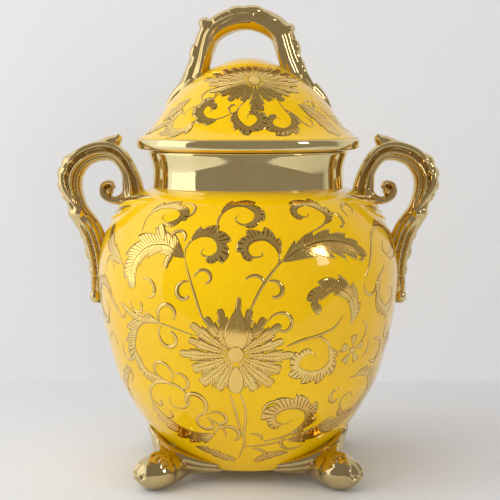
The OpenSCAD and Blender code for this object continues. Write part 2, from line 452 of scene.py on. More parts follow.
def closed_tube(verts, rings, sides):
    """Faces for rings of points, with a cap at each end."""
    faces = []
    for i in range(rings - 1):
        for k in range(sides):
            k2 = (k + 1) % sides
            faces.append([i * sides + k, i * sides + k2, (i + 1) * sides + k2, (i + 1) * sides + k])
    faces.append(list(range(sides - 1, -1, -1)))
    faces.append([(rings - 1) * sides + k for k in range(sides)])
    return verts, faces


def tube(points, radii, sides=12):
    """A closed round tube through 3-D points in mm, with a radius at each point."""
    path = spline(np.column_stack([points, radii]), 6) * MM
    centre, radius = path[:, :3], np.maximum(path[:, 3], 0.15 * MM)
    ahead = np.gradient(centre, axis=0)
    ahead /= np.linalg.norm(ahead, axis=1)[:, None]
    up = np.cross(ahead[0], [0.3, 0.5, 0.8])
    turn = np.arange(sides) * 2 * np.pi / sides
    verts = []
    for c, a, r in zip(centre, ahead, radius):
        up = up - a * (up @ a)
        up /= np.linalg.norm(up)
        out = np.cross(a, up)
        verts.extend(c + r * (np.cos(t) * up + np.sin(t) * out) for t in turn)
    return closed_tube(verts, len(path), sides)


def rib(stations, turn, span, radius, mirror=1, sink=0.9):
    """A raised rib that lies on a bar. turn is its angle round the section at both ends, 0 on
    the outer side and 90 to the back; span is the stretch of the bar, from 0 to 1."""
    path = spline(stations, 8)
    keep = np.linspace(span[0], span[1], 14) * (len(path) - 1)
    path = np.stack([np.interp(keep, np.arange(len(path)), c) for c in path.T], 1)
    ahead = np.gradient(path[:, :2], axis=0)
    ahead /= np.linalg.norm(ahead, axis=1)[:, None]
    a = np.radians(np.linspace(turn[0], turn[1], len(path)))
    across = sink * path[:, 2] * np.cos(a)
    x = path[:, 0] - ahead[:, 1] * across
    z = path[:, 1] + ahead[:, 0] * across
    y = sink * path[:, 3] * np.sin(a)
    fade = np.sin(np.linspace(0.12, np.pi - 0.12, len(path))) ** 0.5
    return tube(np.stack([mirror * x, y, z], 1), radius * fade)


def ball(centre, size, turn=0.0, around=20, rings=12):
    """An ellipsoid, in mm: centre, half sizes, and its tilt in the XZ plane in degrees."""
    verts, faces = [], []
    c, s = math.cos(math.radians(turn)), math.sin(math.radians(turn))
    for i in range(rings + 1):
        a = math.pi * (i + 0.5) / (rings + 1)
        for k in range(around):
            b = 2 * math.pi * k / around
            x = size[0] * math.sin(a) * math.cos(b)
            y = size[1] * math.sin(a) * math.sin(b)
            z = size[2] * math.cos(a)
            verts.append(((centre[0] + c * x - s * z) * MM, (centre[1] + y) * MM,
                          (centre[2] + s * x + c * z) * MM))
    return closed_tube(verts, rings + 1, around)


def moulded(name, parts, mat, voxel=0.5, soften=3, seat=None, sink=1.6):
    """Fuses overlapping forms into one softened, slip-cast looking body. seat is the surface that
    it is luted to: what would go through is pressed flat, sink millimetres under the glaze."""
    verts, faces = [], []
    for v, f in parts:
        base = len(verts)
        verts.extend(v)
        faces.extend([[base + i for i in face] for face in f])
    rough = new_object(name + "_rough", verts, faces, [mat])
    outward(rough)
    remesh = rough.modifiers.new("fuse", "REMESH")
    remesh.mode = "VOXEL"
    remesh.voxel_size = voxel * MM
    smooth = rough.modifiers.new("soften", "SMOOTH")
    smooth.factor = 0.5
    smooth.iterations = soften
    dg = bpy.context.evaluated_depsgraph_get()
    mesh = bpy.data.meshes.new_from_object(rough.evaluated_get(dg))
    bpy.data.objects.remove(rough)
    if seat is not None:
        co = np.empty(len(mesh.vertices) * 3)
        mesh.vertices.foreach_get("co", co)
        co = press(co.reshape(-1, 3), seat, sink * MM)
        mesh.vertices.foreach_set("co", co.ravel())
    mesh.name = name
    mesh.materials.clear()
    mesh.materials.append(mat)
    mesh.polygons.foreach_set("use_smooth", [True] * len(mesh.polygons))
    mesh.update()
    o = bpy.data.objects.new(name, mesh)
    bpy.context.collection.objects.link(o)
    return o


def press(co, seat, sink):
    """Moves the points that lie deeper than sink under a turned surface out to that depth."""
    outline = seat.outline
    low, high = outline[-1, 1], outline[0, 1]
    r = np.hypot(co[:, 0], co[:, 1])
    inside = (co[:, 2] < high) & (co[:, 2] > low)
    floor = np.interp(-co[:, 2], -outline[:, 1], outline[:, 0]) - sink
    deep = inside & (r < floor)
    grow = np.where(deep, floor / np.maximum(r, 1e-6), 1.0)
    co[:, 0] *= grow
    co[:, 1] *= grow
    return co


# ---------------------------------------------------------------- jar and lid bodies

def make_bowl():
    outer = BOWL.outline
    inner = bowl_outline(WALL)[::-1]
    ring, recess = 4 * MM, 2.5 * MM
    base = np.array([[BASE_R - ring, BASE_Z], [BASE_R - ring - recess, BASE_Z + recess],
                     [0, BASE_Z + recess]])
    floor = np.array([[0, BASE_Z + recess + WALL]])
    inner = inner + np.array([0, 1]) * recess * (inner[:, 1:] < BASE_Z + WALL + 0.1 * MM)
    stretches = [(outer, 0), (base[:1], 2), (base[1:], 0), (floor, 1), (inner, 1)]
    o = turned("bowl_shell", stretches, [YELLOW, WHITE, CLAY])
    return finished(o, "jar", "yellow_glaze", "bowl")


def make_neck():
    waist = np.array([NECK_R - 0.4 * MM, NECK_Z + 0.4 * (LIP_Z - NECK_Z)])
    lip = np.array([LIP_R, LIP_Z - LIP_EDGE])
    up = mm(0, 1)
    outside = joined(
        bezier([(NECK_R, NECK_Z), (NECK_R - 0.5 * MM, NECK_Z + 3 * MM), waist - 4 * up, waist], 12),
        bezier([waist, waist + 5 * up, lip + mm(-1.6, -5.4), lip], 16),
        bezier([lip, lip + 0.9 * up, lip + mm(-0.7, 1.6), lip + mm(-1.6, 1.6)], 8),
    )
    inside = joined(
        bezier([(MOUTH_R + LIP_EDGE, LIP_Z), (MOUTH_R + 0.7 * LIP_EDGE, LIP_Z),
                (MOUTH_R, LIP_Z - 0.3 * LIP_EDGE), (MOUTH_R, LIP_Z - LIP_EDGE)], 8),
        np.array([[MOUTH_R, LIP_Z - LIP_EDGE], [NECK_R - WALL, NECK_Z]]),
    )
    gilt = 7  # points of the inside that are still gilt, round the lip
    o = turned("neck_band", [(outside, 0), (inside[:gilt], 0), (inside[gilt:], 1)], [GOLD_TURNED_PAINTED_LIGHT, WHITE])
    return finished(o, "jar", "gold_lustre", "neck_collar")


def make_dome():
    outer = DOME.outline
    inner = dome_outline(LID_WALL)[::-1]
    inner = inner[inner[:, 0] < FLANGE_R - FLANGE_WALL]
    edge = np.array([[RIM_R - RIM_EDGE, RIM_TOP_Z], [FLANGE_R - FLANGE_WALL, RIM_TOP_Z]])
    o = turned("dome_shell", [(outer, 0), (edge, 1), (inner, 1)], [YELLOW, WHITE])
    return finished(o, "lid", "yellow_glaze", "lid_dome")


def make_rim():
    roll = np.array([RIM_R, SEAT_Z + 0.55 * (RIM_TOP_Z - SEAT_Z)])
    top = np.array([RIM_R - RIM_EDGE, RIM_TOP_Z])
    outline = joined(
        np.array([[FLANGE_R, RIM_TOP_Z], [FLANGE_R, SEAT_Z], [RIM_R - 5 * MM, SEAT_Z]]),
        bezier([(RIM_R - 5 * MM, SEAT_Z), (RIM_R - 1.2 * MM, SEAT_Z), roll - mm(0, 2.5), roll], 16),
        bezier([roll, roll + mm(0, 2.2), top + mm(1.1, -0.4), top], 12),
    )
    o = turned("rim_band", [(outline[:1], 1), (outline[1:], 0)], [GOLD_TURNED_PAINTED_LIGHT, WHITE])
    return finished(o, "lid", "gold_lustre", "lid_rim")


def make_flange():
    bevel = 1 * MM
    inner = FLANGE_R - FLANGE_WALL
    outline = joined(
        np.array([[inner, RIM_TOP_Z], [inner, FLANGE_Z + bevel]]),
        bezier([(inner, FLANGE_Z + bevel), (inner, FLANGE_Z), (inner, FLANGE_Z),
                (inner + bevel, FLANGE_Z)], 6),
        bezier([(FLANGE_R - bevel, FLANGE_Z), (FLANGE_R, FLANGE_Z), (FLANGE_R, FLANGE_Z),
                (FLANGE_R, FLANGE_Z + bevel)], 6),
        np.array([[FLANGE_R, FLANGE_Z + bevel], [FLANGE_R, RIM_TOP_Z]]),
    )
    o = turned("locating_flange", [(outline, 0)], [WHITE])
    return finished(o, "lid", "white_glaze", "lid_flange")


# ---------------------------------------------------------------- side handles

# Stations in mm: x, z, half thickness, half depth, from the shoulder over the arch to the belly.
# They follow the CAD model's, a little thinner, which leaves room for the lobes and ribs
SCROLL = [
    (81, 188, 8.0, 9.5), (82, 202, 7.6, 10.5), (85, 214, 6.1, 11), (92.5, 224.5, 6.5, 11.5),
    (103, 227.5, 7.4, 12), (116, 223, 7.7, 12), (124.5, 213, 8.6, 11.5), (126, 203, 8.6, 11.5),
    (122.5, 192, 6.8, 10), (119.5, 183, 7.6, 9.5), (112, 171, 8.2, 9), (107.5, 156, 8.2, 8.2),
    (106.5, 142, 6.2, 7.2), (107.5, 129, 5.2, 6.2), (106, 119, 3.2, 4.5),
]
LEAF_TIP = [(114, 226.5, 4.6, 8), (102, 230.8, 5.4, 8.6), (93.8, 234.8, 4.6, 7), (91.0, 239.0, 1.6, 3)]
CURL = [
    (84, 206, 3.5, 8), (87.5, 195.5, 3.6, 8.2), (95.5, 192.2, 3.0, 8.2), (102.7, 196, 2.5, 8),
    (103, 203, 2.2, 7.5), (97.5, 205, 1.9, 7), (95, 200.5, 1.6, 6.5),
]


def handle_parts(side):
    """The forms of one side handle, for side +1 or -1."""
    def at(x, y, z):
        return side * x, y, z

    # over the arch a deep groove parts the outer leaf from the ribbons inside it, then they split
    arch = ((0.26, 4.6, 1.7, 0.0, 0.62), (-0.42, 2.6, 1.3, 0.03, 0.62))
    leg = ((0.34, 2.6, 1.2, 0.66, 1.0), (-0.12, 2.4, 1.2, 0.66, 1.0), (-0.55, 2.0, 1.0, 0.66, 0.95))
    parts = [
        bar(SCROLL, sides=96, mirror=side, grooves=arch + leg),
        bar(LEAF_TIP, mirror=side, sides=48),
        bar(CURL, mirror=side, sides=48, grooves=((0.1, 1.6, 0.9, 0.0, 0.9),)),
    ]
    parts.append(ball(at(98.6, 0, 199), (3.4, 8.8, 3.4)))
    for face in (1, -1):
        # the rolled outer edge and the leaf that folds over the shoulder of the arch
        parts.append(rib(SCROLL, (face * 50, face * 40), (0.12, 0.56), 2.2, side))
        parts.append(rib(SCROLL, (face * 20, face * 84), (0.34, 0.60), 2.4, side))
    # lobes of the acanthus leaf along the outer edge: x, z, length, tilt
    for x, z, long, tilt in ((127.6, 221.5, 6.0, 40), (132.2, 213.2, 5.6, 62), (132.8, 204.2, 5.4, 84),
                             (130.2, 195.8, 4.6, 108)):
        parts.append(ball(at(x, 0, z), (long * 0.52, 8.2, long), side * (90 - tilt)))
        for face in (1, -1):
            parts.append(ball(at(x - 3.0, face * 7.6, z), (2.3, 3.0, long * 0.74), side * (90 - tilt)))
    # the bead where the leaf ends, and the drops below it
    parts.append(ball(at(121.3, 0, 183.6), (7.0, 9.8, 6.4)))
    for face in (1, -1):
        parts.append(ball(at(119.8, face * 6.6, 184), (4.4, 4.6, 4.4)))
    for x, z, wide, tall in ((117.2, 168.5, 3.2, 6.6), (113.8, 154.5, 2.9, 6.0), (111.2, 141.5, 2.5, 5.6)):
        parts.append(ball(at(x, 0, z), (wide, 4.2, tall), side * -16))
    parts.append(ball(at(109.6, 0, 123.6), (4.0, 5.4, 5.2)))
    return parts


def shoulder_fold(side, face, places, radii):
    """A low fold on the shoulder of the bowl, through (degrees from the handle, height) places."""
    line = []
    for turn, z in places:
        r = BOWL.radius(BOWL.run_at_height(z * MM)) / MM - 1.5
        a = math.radians(turn)
        line.append((side * r * math.cos(a), face * r * math.sin(a), z))
    return tube(line, radii, 20)


def root_folds(side):
    """The gilt folds that run out over the shoulder from the root of a side handle."""
    folds = []
    for face in (-1, 1):
        folds.append(shoulder_fold(side, face, [(3, 190), (14, 194), (28, 196.5), (38, 197)],
                                   [3.6, 3.0, 2.0, 0.7]))
        folds.append(shoulder_fold(side, face, [(4, 184), (13, 187), (22, 190), (30, 190)],
                                   [2.6, 2.0, 1.5, 0.6]))
    return folds


def make_root_leaves():
    """The low yellow leaves that lie between those folds."""
    for side, name in ((-1, "left"), (1, "right")):
        parts = []
        for face in (-1, 1):
            parts.append(shoulder_fold(side, face, [(5, 187.5), (15, 190.5), (28, 193), (41, 193.5)],
                                       [3.0, 3.2, 2.6, 0.7]))
            parts.append(shoulder_fold(side, face, [(4, 179), (12, 182), (20, 184), (27, 184)],
                                       [2.4, 2.4, 1.8, 0.6]))
        o = moulded(name + "_root_leaves", parts, YELLOW, seat=BOWL, sink=1.0)
        finished(o, "jar", "yellow_glaze")


def make_side_handles():
    for side, name in ((-1, "left"), (1, "right")):
        o = moulded(name + "_scroll_handle", handle_parts(side) + root_folds(side), GOLD, seat=BOWL)
        finished(o, "jar", "gold_lustre", name + "_handle")


# ---------------------------------------------------------------- lid handle

LOOP = [
    (-50, 256, 6, 7), (-42, 268, 8.2, 8.4), (-36.5, 280, 8.2, 8.4), (-33, 291, 7.4, 8.8),
    (-30, 302, 7.4, 9.2), (-25.5, 311, 8.0, 9.6), (-14, 318, 8.2, 9.6), (0, 320.2, 8.4, 9.6),
    (13, 316.5, 8.2, 9.6), (22.5, 309, 7.8, 9.6), (26, 299, 7.4, 9.2), (29.5, 289, 7.6, 8.8),
    (34, 279, 8.0, 8.4), (41, 268, 8.2, 8.4), (50, 256, 6, 7),
]


def make_lid_handle():
    bark = ((0.35, 1.6, 2.2, 0.03, 0.97),)
    parts = [bar(LOOP, sides=96, grooves=bark)]
    # bark ridges that wind slowly along the twig
    for start in range(0, 360, 120):
        parts.append(rib(LOOP, (start, start + 50), (0.02, 0.52), 2.4))
        parts.append(rib(LOOP, (start + 20, start - 40), (0.48, 0.98), 2.4))
    # scalloped crest
    for x, z, wide, tall in ((-21.5, 318.4, 8.0, 4.4), (-9.5, 324.0, 8.6, 4.6), (3.5, 324.8, 8.6, 4.6),
                             (15.5, 319.0, 7.6, 4.6)):
        parts.append(ball((x, 0, z), (wide, 8.6, tall), -math.degrees(math.atan2(x, 36))))
    # buds at the shoulders
    for x, z in ((-30.6, 316.6), (28.6, 312.6)):
        parts.append(ball((x, 0, z), (4.6, 5.2, 4.3)))
        parts.append(ball((x, -4.2, z - 0.6), (3.4, 3.2, 3.4)))
        parts.append(ball((x, 4.2, z - 0.6), (3.4, 3.2, 3.4)))
    # knots lower down and roots that spread on the dome
    for x, z, r in ((-37.5, 297, 3.6), (-40.5, 283, 4.0), (33.5, 300, 3.4), (37, 286, 3.8)):
        parts.append(ball((x, 0, z), (r, 6.4, r * 2.0), math.copysign(16, x)))
    for side in (-1, 1):
        for face in (-1, 1):
            parts.append(tube([(side * 38, face * 6, 276), (side * 45, face * 9, 267),
                               (side * 51, face * 12, 259.5)], [3.6, 3.0, 1.6]))
            parts.append(tube([(side * 34, face * 7, 280), (side * 36, face * 12, 272.5),
                               (side * 39, face * 17, 266)], [3.0, 2.4, 1.2]))
        parts.append(tube([(side * 44, 0, 271), (side * 52, 0, 264), (side * 58, 0, 257)], [6.5, 4.4, 1.6]))
    o = moulded("twig_loop", parts, GOLD, soften=10, seat=DOME)
    finished(o, "lid", "gold_lustre", "lid_handle")


# ---------------------------------------------------------------- feet

def turned_part(part, degrees):
    """Turns a form about the axis of the jar."""
    verts, faces = part
    c, s = math.cos(math.radians(degrees)), math.sin(math.radians(degrees))
    return [(c * x - s * y, s * x + c * y, z) for x, y, z in verts], faces


def on_bowl(turn, z, lift):
    """A point lift mm off the bowl, turn degrees round from the foot, in mm."""
    r = BOWL.radius(BOWL.run_at_height(z * MM)) / MM + lift
    return r * math.cos(math.radians(turn)), r * math.sin(math.radians(turn)), z


# The three flutes of the leaf that each foot carries along the bowl. Stations: degrees round
# towards the nearer handle, height and lift off the bowl in mm
FLUTES = (
    [(22, 36, 0.0), (18, 30, 2.0), (10, 25, 6.0), (0, 20.5, 7.0), (-12, 16.5, 4.0), (-25, 14, 0.0)],
    [(24, 32, 0.0), (20, 25.5, 4.0), (12, 20, 8.5), (2, 15.5, 9.5), (-10, 12.5, 6.0), (-26, 10.5, 0.5)],
    [(24, 26, 0.0), (21, 20, 5.0), (14, 14.5, 10.0), (5, 11, 10.5), (-6, 9.5, 7.0), (-20, 9, 0.5)],
)


def foot_parts(sweep):
    """The forms of a scroll foot that points along +X. Its leaf sweeps to the side of sweep."""
    r = FOOT_R / MM
    parts = [
        ball((r - 3.2, 0, 11.9), (15.0, 14.2, 11.8), 0, 40, 24),
        tube([(r - 4, 0, 11.8), (r - 20, 0, 11.5), (r - 40, 0, 11.5)], [11.6, 10.0, 4.0], 40),
        tube([(r - 8, 0, 14), on_bowl(sweep * 5, 19, 3), on_bowl(sweep * 12, 26, -1)], [10.0, 5.5, 3.0], 32),
    ]
    for flute in FLUTES:
        route = [on_bowl(sweep * a, z, lift) for a, z, lift in flute]
        parts.append(tube(route, [1.6, 3.2, 4.0, 4.0, 3.2, 1.4], 24))
    # three more flutes fall from the tip of the leaf over the bulb to the toe
    for k in range(3):
        route = [
            on_bowl(sweep * (23 - 3 * k), 36 - 5 * k, 0.0),
            on_bowl(sweep * (16 - 3 * k), 28 - 3 * k, 4 + k),
            (r - 13 + k, sweep * (5 - 4.2 * k), 21.5 - k),
            (r - 1, sweep * (1 - 4.6 * k), 22.2 - 1.4 * k),
            (r + 6.5 - 0.5 * k, sweep * (-1.5 - 4.6 * k), 16.5 - 2.2 * k),
        ]
        parts.append(tube(route, [1.4, 2.6, 3.4, 2.8, 1.1], 24))
    for side in (-1, 1):
        # the scalloped curl on the toe
        parts += [
            tube([(r + 2, side * 1.0, 22.0), (r + 8.0, side * 4.6, 17.5), (r + 10.0, side * 6.8, 11.5)],
                 [1.3, 1.7, 1.2]),
            tube([(r + 10.0, side * 6.8, 11.5), (r + 11.3, side * 3.6, 9.6), (r + 12.0, side * 0.6, 12.5)],
                 [1.2, 1.2, 0.8]),
        ]
    return parts


def make_feet():
    for name, turn, sweep in (("front_left", 225, -1), ("front_right", 315, 1), ("back_left", 135, 1),
                              ("back_right", 45, -1)):
        parts = [turned_part(p, turn) for p in foot_parts(sweep)]
        o = moulded(name + "_scroll_foot", parts, GOLD_FEET_PAINTED_SHADE, seat=BOWL)
        verts = o.data.vertices
        for v in verts:
            v.co.z = max(v.co.z, 0.0)
        finished(o, "jar", "gold_lustre", name + "_foot")


# ---------------------------------------------------------------- printed scrollwork

# Not laid out by rule: most of the places in belly_scrolls, shoulder_scrolls and lid_scrolls were
# picked on the photograph and turned into degrees and heights by a separate Python program, and
# some were then moved by hand.

class Gilding:
    """Gilt printing on a turned surface, gathered into one mesh of thin closed strokes. A place is
    (degrees round from the front, height in mm); widths are in mm, to each side of a line."""

    STEP = 0.9

    def __init__(self, surface, turn=0.0):
        self.surface = surface
        self.turn = turn
        self.layer = 0
        self.verts, self.faces, self.strokes = [], [], []

    def spot(self, place):
        """A place as (radians, distance along the outline)."""
        return np.array([math.radians(place[0] + self.turn),
                         self.surface.run_at_height(place[1] * MM)])

    def trace(self, places):
        """A smooth line through places, in even steps."""
        line = spline([self.spot(p) for p in places], 12)
        far = np.concatenate([[0], np.cumsum(np.linalg.norm(self.moves(line), axis=1))])
        steps = np.linspace(0, far[-1], max(4, round(far[-1] / self.STEP)))
        return np.stack([np.interp(steps, far, c) for c in line.T], 1)

    def moves(self, line):
        """The moves from point to point in mm, (towards +X, up), laid flat."""
        r = self.surface.radius((line[1:, 1] + line[:-1, 1]) / 2)
        step = np.diff(line, axis=0)
        return np.stack([step[:, 0] * r, -step[:, 1]], 1) / MM

    def wind(self, start, heading, length, turn, tighten=1.5):
        """A line that sets out from a place or from the end of a line, with a heading in degrees (0
        towards +X, 90 up), and winds up by turn degrees, ever tighter."""
        here = start[-1] if isinstance(start, np.ndarray) else self.spot(start)
        count = max(8, round(length / self.STEP))
        line = [here]
        for t in (np.arange(count) + 0.5) / count:
            wound = (t + tighten * t * t / 2) / (1 + tighten / 2)
            a = math.radians(heading + turn * wound)
            r = max(self.surface.radius(here[1]), MM)
            here = here + np.array([math.cos(a) / r, -math.sin(a)]) * length / count * MM
            line.append(here)
        return np.array(line)

    def ribbon(self, line, left, right, columns, lean=0.0, veined=True):
        """Adds a closed strip along a line, left and right wide at each of its points. Where it is
        veined, the veins run out from the line."""
        moves = self.moves(line)
        moves = np.vstack([moves[:1], (moves[1:] + moves[:-1]) / 2, moves[-1:]])
        size = np.linalg.norm(moves, axis=1)
        ahead = moves / size[:, None]
        aside = np.stack([-ahead[:, 1], ahead[:, 0]], 1)
        bend = np.gradient(np.unwrap(np.arctan2(ahead[:, 1], ahead[:, 0]))) / size
        bend = np.convolve(np.pad(bend, 3, "edge"), np.ones(7) / 7, "valid")
        left = np.minimum(left, 0.8 / np.maximum(bend, 1e-3))
        right = np.minimum(right, 0.8 / np.maximum(-bend, 1e-3))
        slant = math.radians(lean)
        r = np.maximum(self.surface.radius(line[:, 1]), MM)
        far = np.cumsum(size) + 0.7 * self.layer if veined else np.full(len(line), -1.0)
        base, count = len(self.verts), len(line)
        rise = GILT * (0.40 + 0.05 * (self.layer % 12))
        fall = 0.35 if columns == 3 else 0.0
        self.layer += 1
        for f in np.linspace(-1, 1, columns):
            reach = np.where(f > 0, left, right)
            shift = reach[:, None] * (f * math.cos(slant) * aside + abs(f) * math.sin(slant) * ahead)
            spots = line + np.stack([shift[:, 0] / r, -shift[:, 1]], 1) * MM
            lift = rise * (1 - fall * f**4)
            self.verts.extend(self.surface.place(spots[:, 0], spots[:, 1], lift))
            self.strokes.extend(zip(far, np.full(count, f), reach))
            if abs(f) == 1:
                edge = self.surface.place(spots[:, 0], spots[:, 1], -GILT)
                self.verts.extend(edge)
                self.strokes.extend(zip(far, np.full(count, f), reach))
        # the first point of each long edge, from the right: the lower edges lie beside the outer two
        top_right, under_right, *rest, under_left = [base + count * i for i in range(columns + 2)]
        ring = [top_right, *rest, under_left, under_right]
        for a, b in zip(ring, ring[1:] + ring[:1]):
            for i in range(count - 1):
                self.faces.append([a + i, a + i + 1, b + i + 1, b + i])
        self.faces.append(ring)
        self.faces.append([a + count - 1 for a in reversed(ring)])

    def stroke(self, line, width=0.85, taper=(0.5, 0.25), swell=0.5):
        """A brush line: its half width at the middle, and the shares of it at the two ends."""
        if not isinstance(line, np.ndarray):
            line = self.trace(line)
        t = np.linspace(0, 1, len(line))
        ends = taper[0] + (taper[1] - taper[0]) * t
        half = width * (ends + (1 - ends) * np.sin(np.pi * t ** (2 * swell)) ** 0.8)
        self.ribbon(line, half, half, 3)
        return line

    def curl(self, start, heading, length, turn, width=0.9, tighten=1.5):
        """A comma: a curling stroke that is fattest past its middle."""
        return self.stroke(self.wind(start, heading, length, turn, tighten), 1.15 * width, (0.3, 0.45), 0.62)

    def leaf(self, line, left, right, lobes=(0, 0), span=(0, 1), peak=0.45, lean=38,
             veined=True, blunt=1.1):
        """A pointed leaf along a span of a line. Its edges, left and right mm out at their widest,
        are cut into so many teeth that lean towards the tip. A higher blunt is a sharper tip."""
        if not isinstance(line, np.ndarray):
            line = self.trace(line)
        first, last = [round(s * (len(line) - 1)) for s in span]
        line = line[first:last + 1]
        t = np.linspace(0, 1, len(line))
        body = (t / peak) ** (blunt * peak) * ((1 - t) / (1 - peak)) ** (blunt * (1 - peak))
        edges = []
        for width, count in ((left, lobes[0]), (right, lobes[1])):
            tooth = (count * t) % 1
            cut = 0.45 * (1 - np.sin(np.pi / 2 * tooth)) if count else 0.0
            edges.append(width * body * (1 - cut) + 0.12)
        widest = max(left, right)
        self.ribbon(line, *edges, 2 * math.ceil(widest / 3) + 3, lean, veined)
        return line

    def scroll_leaf(self, places, width, left, right, lobes, span, peak=0.5, lean=20):
        """A stroke that curls up, with a toothed leaf along a span of it."""
        self.leaf(self.stroke(places, width), left, right, lobes, span, peak, lean)

    def petal(self, centre, direction, start, length, width, bend=14, lobes=3):
        """A pointed petal, start mm out from a centre."""
        root = self.wind(centre, direction, start, 0)
        line = self.wind(root, direction, length - start, bend, 0.5)
        self.leaf(line, width, width, (lobes, lobes), (0.0, 1.0), 0.58, 48, True, 2.0)

    def blob(self, place, radius):
        """A round dot."""
        line = self.trace([(place[0], place[1] - radius), (place[0], place[1] + radius)])
        t = np.linspace(-1, 1, len(line))
        half = radius * np.sqrt(1 - t * t) + 0.05
        self.ribbon(line, half, half, 9, veined=False)

    def finish(self, name, body):
        o = new_object(name, self.verts, self.faces, [PRINT])
        data = o.data.attributes.new("stroke", "FLOAT_VECTOR", "POINT")
        data.data.foreach_set("vector", np.array(self.strokes, float).ravel())
        outward(o)
        return finished(o, body, "gold_lustre")


def lotus(gilt, centre, petals):
    """A lotus: pairs of petals (degrees from the top, length, half width) about a round heart."""
    for from_top, length, width in petals:
        for side in (1, -1):
            gilt.petal(centre, 90 + side * from_top, 4, length, width, -side * 12)


def big_lotus(gilt):
    """The flower in the middle of the belly, with a bud above and a seed drop below."""
    centre = (-4.5, 100)
    lotus(gilt, centre, ((22, 32, 5.6), (42, 31, 6.0), (60, 35, 6.2), (78, 32, 6.0), (96, 38, 6.4),
                         (116, 31, 8.2), (137, 32, 8.4), (158, 28, 7.4)))
    gilt.leaf([(-4.5, 92), (-4.5, 84), (-5, 73)], 5, 5, peak=0.62, lean=0, veined=False)
    for side in (-1, 1):
        gilt.leaf([(-4.5, 103), (-4.5 + 4.5 * side, 112), (-4.5 + 3 * side, 122)], 3.6, 3.6, lean=0)
    # the bud: a round body, its neck and its tip
    gilt.leaf([(-4.3, 102), (-4.2, 112), (-3.8, 122), (-3.4, 133)], 7.8, 7.8, peak=0.34, lean=0, veined=False,
              blunt=1.9)
    gilt.stroke([(-3.8, 121), (-3.4, 130), (-3, 138)], 1.9, (0.8, 0.5))
    gilt.stroke([(-9, 107), (-7, 113), (-4.2, 117), (-1.2, 113), (0.6, 107)], 0.7, (0.6, 0.6))
    gilt.blob(centre, 5.6)


